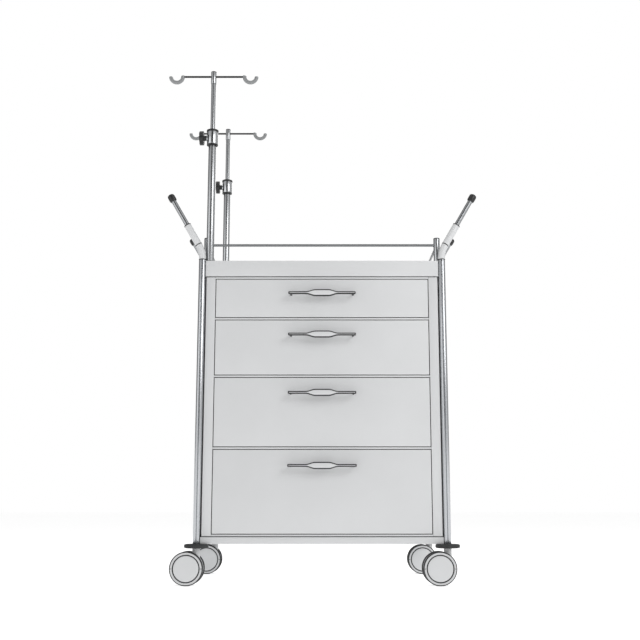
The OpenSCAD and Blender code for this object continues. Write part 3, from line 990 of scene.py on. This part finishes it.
@dataclass
class Handle:
    """A push handle: elbow and sleeve on the column top, rod and end cap."""

    bend: float = 97 * MM              # radius of the elbow's axis
    angle: float = math.radians(30)    # how far the handle leans outwards
    sleeve_l: float = 74 * MM
    rod_r: float = 7.75 * MM
    reach: float = 102 * MM            # from the sleeve to the middle of the cap
    cap_r: float = 11.5 * MM
    cap_half: float = 12.5 * MM
    gasket_t: float = 3 * MM

    def build(self) -> None:
        """Builds one handle pointing right, then copies it to all corners."""
        low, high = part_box("columns_front")
        r = (high.y - low.y) / 2
        x = high.x - r
        end = Vector((self.bend * (1 - math.cos(self.angle)), 0, self.bend * math.sin(self.angle)))
        lean = (0, self.angle, 0)
        elbow = disc("handle_elbow", r)
        pick(elbow, everything)
        bpy.ops.mesh.spin(steps=12, angle=-self.angle, center=(self.bend, 0, 0), axis=(0, 1, 0))
        mend(elbow)
        soften(elbow, 0.8 * MM, 2)
        s = self.sleeve_l
        sleeve = lathe("handle_sleeve", [
            (0, 0), (r - 0.8 * MM, 0), (r, 0.8 * MM), (r, s - 1.6 * MM), (r - 1.6 * MM, s), (0, s),
        ], 48)
        place(soften(sleeve, 0.5 * MM, 2), end, lean)
        tip = s + self.reach
        rod = lathe("handle_rod", [
            (0, s - 4 * MM), (self.rod_r, s - 4 * MM), (self.rod_r, tip), (0, tip),
        ], 48)
        place(soften(rod, 0.3 * MM, 1), end, lean)
        c = self.cap_r
        foot = tip - self.cap_half
        cap = lathe("handle_cap", [
            (0, foot), (c - 3.4 * MM, foot), (c - 1 * MM, tip - 11 * MM),
            (c, tip - 7 * MM), (c, tip + 6 * MM), (c - 1.5 * MM, tip + 10.2 * MM),
            (c - 4.5 * MM, tip + 12 * MM), (0, tip + self.cap_half),
        ], 48)
        place(soften(cap, 1.2 * MM, 3), end, lean)
        rings = [
            self.gasket("foot", r + 0.4 * MM, 0),
            self.gasket("joint", r + 0.3 * MM, 0),
            self.gasket("end", r + 0.3 * MM, s - 1 * MM),
        ]
        for ring in rings[1:]:
            place(ring, end, lean)
        gaskets = join("handle_gaskets", *rings)
        looks = {
            "elbow": (elbow, MOULDED_NYLON, "grey_plastic", ("handle_elbows",)),
            "sleeve": (sleeve, MOULDED_NYLON, "grey_plastic", ("handle_sleeves",)),
            "rod": (rod, STAINLESS_ACROSS_SHADED, "column", ("handle_rods",)),
            "cap": (cap, BLACK_NYLON, "black_plastic", ("handle_caps",)),
            "gaskets": (gaskets, ELASTOMER, "black_rubber", ()),
        }
        for word, (model, finish, slot, nodes) in looks.items():
            for end_y in (FRONT, REAR):
                for side in (LEFT, RIGHT):
                    spin = Matrix.Rotation(0 if side == RIGHT else math.pi, 4, "Z")
                    y = abs(low.y + r) * end_y
                    move = Matrix.Translation((side * x, y, high.z))
                    name = f"handle_{word}_{END_WORD[end_y]}_{SIDE_WORD[side]}"
                    dress(twin(model, name, move @ spin), finish, slot, "root", *nodes)
            bpy.data.objects.remove(model)

    def gasket(self, word: str, outer: float, middle: float) -> Object:
        """Builds a thin rubber ring that seals a joint.

        Args:
            word: which joint.
            outer: its radius.
            middle: the height of its middle.

        Returns:
            The ring, round Z.
        """
        half = self.gasket_t / 2
        inner = self.rod_r - 0.5 * MM
        ring = lathe(f"handle_gasket_{word}", [
            (inner, middle - half), (outer, middle - half), (outer, middle + half), (inner, middle + half),
        ], 48)
        return soften(ring, 0.3 * MM, 2)


@dataclass
class Gallery:
    """The low rail round the worktop on its four posts."""

    post_r: float = 10 * MM
    cap_t: float = 3.2 * MM
    rail_from: float = 9.5 * MM        # where a rail starts, from its post's axis
    rail_collar: float = 11.5 * MM     # where its small collar ends

    def build(self) -> None:
        """Builds the posts, their caps and the rails between them."""
        low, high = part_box("gallery_posts")
        r = self.post_r
        h = high.z - low.z
        x = high.x - r
        y = high.y - r
        post = lathe("gallery_post", [
            (0, 0), (r, 0), (r, h - self.cap_t), (0, h - self.cap_t),
        ], 48)
        soften(post, 0.25 * MM, 2)
        cap = lathe("gallery_cap", [
            (0, h - self.cap_t), (r, h - self.cap_t), (r, h - 1 * MM), (r - 1.4 * MM, h), (0, h),
        ], 48)
        soften(cap, 0.4 * MM, 2)
        for end in (FRONT, REAR):
            for side in (LEFT, RIGHT):
                move = Matrix.Translation((side * x, end * y, low.z))
                where = f"{END_WORD[end]}_{SIDE_WORD[side]}"
                upright = twin(post, f"gallery_post_{where}", move)
                dress(upright, STAINLESS_UP, "column", "root", "gallery_posts")
                lid = twin(cap, f"gallery_cap_{where}", move)
                dress(lid, BLACK_NYLON, "black_plastic", "root")
        for model in (post, cap):
            bpy.data.objects.remove(model)
        rail_low, rail_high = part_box("gallery_rails")
        rail_r = (rail_high.z - rail_low.z) / 2
        z = (rail_low.z + rail_high.z) / 2
        for end in (FRONT, REAR):
            self.rail(f"gallery_rail_{END_WORD[end]}", rail_r, Vector((-x, end * y, z)), 2 * x, True)
        for side in (LEFT, RIGHT):
            self.rail(f"gallery_rail_{SIDE_WORD[side]}", rail_r, Vector((side * x, -y, z)), 2 * y, False)

    def rail(self, name: str, r: float, start: Vector, length: float, along_x: bool) -> None:
        """Builds a rail with a small collar where it enters each post.

        Args:
            name: its name.
            r: its radius.
            start: the axis of the post that it starts from.
            length: the distance between its two posts.
            along_x: whether it runs along X rather than Y.
        """
        near = self.rail_from
        seat = self.rail_collar
        rail = lathe(name, [
            (0, near), (r + 1 * MM, near), (r + 1 * MM, seat), (r, seat + 0.6 * MM),
            (r, length - seat - 0.6 * MM), (r + 1 * MM, length - seat), (r + 1 * MM, length - near),
            (0, length - near),
        ], 32)
        soften(rail, 0.25 * MM, 2)
        place(rail, start, (0, math.pi / 2, 0) if along_x else (-math.pi / 2, 0, 0))
        finish = STAINLESS_ALONG_SHADED if along_x else STAINLESS_ACROSS_SHADED
        dress(rail, finish, "stainless", "root", "gallery_rails")


@dataclass
class Pole:
    """An infusion pole: tube, clamp collar, knob, sliding rod and hook head."""

    end: int
    rod_r: float = 7.5 * MM
    tube_r: float = 12 * MM
    collar_r: float = 17.5 * MM
    collar_lid: float = 6 * MM         # thickness of the collar's upper ring
    collar_foot: float = 3 * MM        # and of its lower ring
    rod_hole: float = 20 * MM          # depth of the collar's bore for the rod, from its top
    tube_hole: float = 34 * MM         # and where its bore for the tube starts
    boss_r: float = 10 * MM
    boss_bore: float = 4.2 * MM
    boss_from: float = 12 * MM         # where the boss starts, from the pole's axis
    boss_to: float = 19.5 * MM
    head_wall: float = 1.25 * MM
    head_gap: float = 0.3 * MM         # between the rod's top and the head
    head_cap: float = 3 * MM
    bar_drop: float = 17 * MM          # from the head's top to the cross bar's axis
    bar_r: float = 3.1 * MM
    hook_r: float = 19.5 * MM          # radius of the hook's bend
    wire_r: float = 6 * MM
    hook_x: float = 120 * MM           # from the pole's axis to the hook's middle
    lap: float = math.radians(9)       # how far the hook goes past its half circle

    def build(self) -> None:
        """Builds the pole from its foot to its hooks."""
        word = END_WORD[self.end]
        rod_low, rod_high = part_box(f"pole_rod_{word}")
        axis = Vector(((rod_low.x + rod_high.x) / 2, (rod_low.y + rod_high.y) / 2, 0))
        self.tube(word, axis)
        self.collar(word, axis)
        rod = lathe(f"pole_rod_{word}_bar", [
            (0, rod_low.z), (self.rod_r, rod_low.z), (self.rod_r, rod_high.z), (0, rod_high.z),
        ], 48)
        place(soften(rod, 0.3 * MM, 2), axis)
        dress(rod, STAINLESS_UP, "stainless", f"pole_rod_{word}", f"pole_rod_{word}")
        knob = soften(worked_copy(f"clamp_knob_{word}", f"clamp_knob_{word}_moulding"), 1.4 * MM, 3)
        dress(knob, BLACK_NYLON, "black_plastic", f"clamp_knob_{word}", f"clamp_knob_{word}")
        self.head(word, axis)

    def tube(self, word: str, axis: Vector) -> None:
        """Builds the lower tube with a rounded foot ring on the worktop.

        Args:
            word: "front" or "rear".
            axis: the pole's place on the floor.
        """
        low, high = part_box("pole_tubes")
        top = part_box("worktop")[1].z
        tube = lathe(f"pole_tube_{word}", [
            (0, low.z), (self.tube_r, low.z), (self.tube_r, high.z), (0, high.z),
        ], 56)
        place(soften(tube, 0.3 * MM, 2), axis)
        dress(tube, STAINLESS_UP, "stainless", "root", "pole_tubes")
        ring = lathe(f"pole_ring_{word}", [
            (self.tube_r, top - 2 * MM), (self.tube_r + 0.9 * MM, top - 2 * MM),
            (self.tube_r + 0.9 * MM, top + 1.6 * MM), (self.tube_r, top + 2.4 * MM),
        ], 56)
        place(soften(ring, 0.2 * MM, 2), axis)
        dress(ring, BLACK_NYLON, "black_plastic", "root")

    def collar(self, word: str, axis: Vector) -> None:
        """Builds the clamp collar: a turned sleeve between two dark rings, and its boss.

        Args:
            word: "front" or "rear".
            axis: the pole's place on the floor.
        """
        low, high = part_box("pole_collars")
        r = self.collar_r
        bore = self.rod_r + 0.1 * MM
        foot = low.z + self.collar_foot
        lid = high.z - self.collar_lid
        sleeve = lathe(f"collar_sleeve_{word}", [
            (self.tube_r, foot), (r, foot), (r, lid), (bore, lid),
            (bore, high.z - self.rod_hole), (self.tube_r, high.z - self.tube_hole),
        ], 64)
        soften(sleeve, 0.4 * MM, 2)
        knob_low, knob_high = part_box(f"clamp_knob_{word}")
        boss = lathe(f"collar_boss_{word}", [
            (self.boss_bore, self.boss_from), (self.boss_r, self.boss_from),
            (self.boss_r, self.boss_to - 1.2 * MM), (self.boss_r - 1.2 * MM, self.boss_to),
            (self.boss_bore, self.boss_to),
        ], 48)
        soften(boss, 0.3 * MM, 2)
        place(boss, Vector((0, 0, (knob_low.z + knob_high.z) / 2)), (0, -math.pi / 2, 0))
        whole = join(f"collar_{word}", sleeve, boss)
        place(whole, axis)
        dress(whole, TURNED, "collar", "root", "pole_collars")
        for part, bottom, top, outer, inner in (
            ("top", lid, high.z, r + 1.5 * MM, bore),
            ("foot", low.z, foot, r + 0.4 * MM, self.tube_r + 0.1 * MM),
        ):
            ring = lathe(f"collar_{part}_{word}", [
                (inner, bottom), (outer, bottom), (outer, top), (inner, top),
            ], 64)
            place(soften(ring, 0.8 * MM, 3), axis)
            dress(ring, BLACK_NYLON, "black_plastic", "root")

    def head(self, word: str, axis: Vector) -> None:
        """Builds the head, its cross bar and the two coated hooks.

        Args:
            word: "front" or "rear".
            axis: the pole's place on the floor.
        """
        body = f"hook_head_{word}"
        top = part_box(body)[1].z
        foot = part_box(f"pole_rod_{word}")[1].z + self.head_gap
        r = self.rod_r + self.head_wall
        bar_z = top - self.bar_drop
        cap = top - self.head_cap
        head = lathe(f"{body}_ferrule", [(0, foot), (r, foot), (r, cap), (0, cap)], 48)
        place(soften(head, 0.5 * MM, 2), axis)
        dress(head, STAINLESS_UP, "stainless", body, body)
        lid = lathe(f"{body}_cap", [
            (0, cap), (r, cap), (r, top - 0.8 * MM), (r - 1.4 * MM, top), (0, top),
        ], 48)
        place(soften(lid, 0.3 * MM, 2), axis)
        dress(lid, BLACK_NYLON, "black_plastic", body)
        reach = self.hook_x - self.hook_r
        bar = lathe(f"{body}_bar", [
            (0, -reach), (self.bar_r, -reach), (self.bar_r, reach), (0, reach),
        ], 24)
        place(soften(bar, 0.3 * MM, 1), axis + Vector((0, 0, bar_z)), (0, math.pi / 2, 0))
        dress(bar, BLACK_OXIDE, "stainless", body)
        for side in (LEFT, RIGHT):
            hook = disc(f"{body}_hook_{SIDE_WORD[side]}", self.wire_r, 32)
            # the wire's section starts at the hook's far end, facing up, and is swung down and round
            place(hook, Vector((self.hook_r, 0, 0)))
            pick(hook, everything)
            bpy.ops.mesh.spin(steps=32, angle=-math.pi - self.lap, center=(0, 0, 0), axis=(0, 1, 0))
            mend(hook)
            soften(hook, 0.7 * MM, 2)
            turn = Matrix.Rotation(0 if side == RIGHT else math.pi, 4, "Z")
            move = Matrix.Translation(axis + Vector((side * self.hook_x, 0, bar_z)))
            hook.data.transform(move @ turn)
            dress(hook, PVC_SLEEVE, "grey_plastic", body)


@dataclass
class Studio:
    """Pale floor, soft light and the camera."""

    lens: float = 52.87
    eye: tuple[float, float, float] = (1 * MM, -3.115, 0.234)
    pitch: float = math.radians(9.66)
    shift: tuple[float, float] = (-0.0036, 0.04)
    floor_size: float = 60
    ambient: float = 0.42              # strength of the surroundings for rough surfaces
    aim: float = 0.7                   # height that the lamps point at
    # the grey of the surroundings in a mirror, by the share of a full turn round Z
    CARDS: ClassVar[Profile] = [
        (0.0, 0.02), (0.035, 0.02), (0.07, 0.62), (0.2, 0.75), (0.3, 0.3), (0.42, 0.12), (0.5, 0.12),
        (0.6, 0.25), (0.7, 0.5), (0.8, 0.85), (0.93, 0.8), (0.965, 0.02), (1.0, 0.02),
    ]
    # each lamp's name, place, size and power
    LAMPS: ClassVar[list[tuple[str, tuple[float, float, float], float, float]]] = [
        ("key", (2.6, -3.2, 2.6), 2.2, 62),
        ("fill", (-3.2, -2.6, 1.6), 2.4, 16),
        ("back", (0.6, 3.4, 2.6), 2.4, 24),
        ("top", (0, 0, 4.2), 2.6, 24),
    ]

    def camera(self) -> None:
        """Sets up the camera in front of the cart, low down and looking slightly up."""
        data = bpy.data.cameras.new("camera")
        data.lens = self.lens
        data.shift_x, data.shift_y = self.shift
        camera = bpy.data.objects.new("camera", data)
        camera.location = self.eye
        camera.rotation_euler = (math.pi / 2 + self.pitch, 0, 0)
        bpy.context.scene.collection.objects.link(camera)
        bpy.context.scene.camera = camera

    def floor(self) -> None:
        """Lays the pale floor."""
        clear_selection()
        bpy.ops.mesh.primitive_plane_add(size=self.floor_size)
        floor = settle("floor")
        made = bpy.data.materials.new("pale_floor")
        made.use_nodes = True
        shader = made.node_tree.nodes["Principled BSDF"]
        shader.inputs["Base Color"].default_value = linear("#f4f4f4")
        shader.inputs["Roughness"].default_value = 0.9
        shader.inputs["Emission Color"].default_value = (1, 1, 1, 1)
        shader.inputs["Emission Strength"].default_value = 0.6
        floor.data.materials.append(made)

    def light(self) -> None:
        """Hangs the soft lights and sets the white surroundings."""
        world = bpy.data.worlds.new("studio")
        bpy.context.scene.world = world
        world.use_nodes = True
        tree = world.node_tree
        background = tree.nodes["Background"]
        way = add_node(tree, "TexCoord").outputs["Generated"]
        parts = add_node(tree, "SeparateXYZ", {}, {"Vector": way}).outputs
        turn = add_node(
            tree, "Math", {}, {0: parts["X"], 1: parts["Y"]}, operation="ARCTAN2"
        ).outputs["Value"]
        share = add_node(
            tree, "MapRange", {"From Min": -math.pi, "From Max": math.pi}, {"Value": turn}
        ).outputs["Result"]
        # round metal mirrors these cards, which leave it dark and light lines along its length
        cards = add_node(tree, "ValToRGB", {}, {"Fac": share})
        stops = cards.color_ramp.elements
        for at, _ in self.CARDS[1:-1]:
            stops.new(at)
        for stop, (at, grey) in zip(stops, self.CARDS):
            stop.position = at
            stop.color = (grey, grey, grey, 1)
        rays = add_node(tree, "LightPath").outputs
        mirrored = add_node(tree, "Mix", {}, {"Factor": rays["Is Glossy Ray"]}, data_type="FLOAT")
        mirrored.inputs[2].default_value = self.ambient
        tree.links.new(cards.outputs["Color"], mirrored.inputs[3])
        strength = add_node(tree, "Mix", {}, {"Factor": rays["Is Camera Ray"]}, data_type="FLOAT")
        strength.inputs[3].default_value = 1.0
        tree.links.new(mirrored.outputs[0], strength.inputs[2])
        background.inputs["Color"].default_value = (1, 1, 1, 1)
        tree.links.new(strength.outputs[0], background.inputs["Strength"])
        for name, at, size, power in self.LAMPS:
            data = bpy.data.lights.new(name, "AREA")
            data.size = size
            data.energy = power
            lamp = bpy.data.objects.new(name, data)
            lamp.location = at
            way_down = Vector((0, 0, self.aim)) - Vector(at)
            lamp.rotation_euler = way_down.to_track_quat("-Z", "Y").to_euler()
            bpy.context.scene.collection.objects.link(lamp)


def main() -> None:
    """Builds the studio and the cart, piece by piece."""
    logging.basicConfig(level=logging.INFO, format="%(name)s: %(message)s")
    # plain colours, as the hex codes of the finishes say
    bpy.context.scene.view_settings.view_transform = "Standard"
    studio = Studio()
    studio.camera()
    studio.floor()
    studio.light()
    Column().build()
    Body().build()
    FaceFrame().build()
    for number in range(1, 5):
        Drawer(number).build()
    for end in (FRONT, REAR):
        for side in (LEFT, RIGHT):
            Castor(side, end).build()
    Handle().build()
    Gallery().build()
    for end in (FRONT, REAR):
        Pole(end).build()
    clear_selection()


if __name__ == "__main__":
    main()
